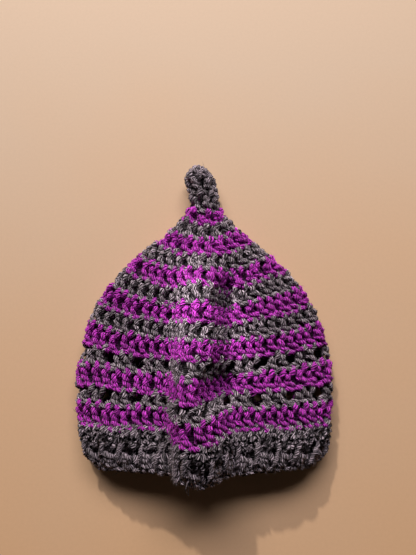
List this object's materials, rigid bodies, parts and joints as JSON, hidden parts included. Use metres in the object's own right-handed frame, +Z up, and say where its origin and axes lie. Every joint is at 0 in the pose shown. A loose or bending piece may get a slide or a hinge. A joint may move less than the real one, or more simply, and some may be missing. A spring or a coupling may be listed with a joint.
{
  "type": "nightcap",
  "caption": "Crocheted pointed nightcap in purple and grey stripes with two eyelet rounds, a ribbed brim and a stalk-like topknot, lying on its back layer.",
  "frame": {"origin": "middle of the footprint of the lying cap, on the table", "axes": "+Z up from the table, +Y from the mouth to the topknot, +X to the right as seen from the mouth"},
  "size_m": [0.191, 0.2336, 0.057],
  "materials": {
    "purple_yarn": "crocheted acrylic yarn, matt and fuzzy",
    "grey_yarn": "crocheted acrylic yarn, heathered, matt and fuzzy"
  },
  "bodies": {
    "root": {"ribbed_brim": "grey_yarn", "crown_round_13_purple": "purple_yarn", "crown_round_12_grey_eyelet": "grey_yarn", "crown_round_11_purple": "purple_yarn", "crown_round_10_grey_eyelet": "grey_yarn", "crown_round_9_purple": "purple_yarn", "crown_round_8_grey": "grey_yarn", "crown_round_7_purple": "purple_yarn", "crown_round_6_grey": "grey_yarn", "crown_round_5_purple": "purple_yarn", "crown_round_4_grey": "grey_yarn", "crown_round_3_purple": "purple_yarn", "crown_round_2_grey": "grey_yarn", "crown_round_1_purple": "purple_yarn", "topknot": "grey_yarn"}
  },
  "joints": []
}
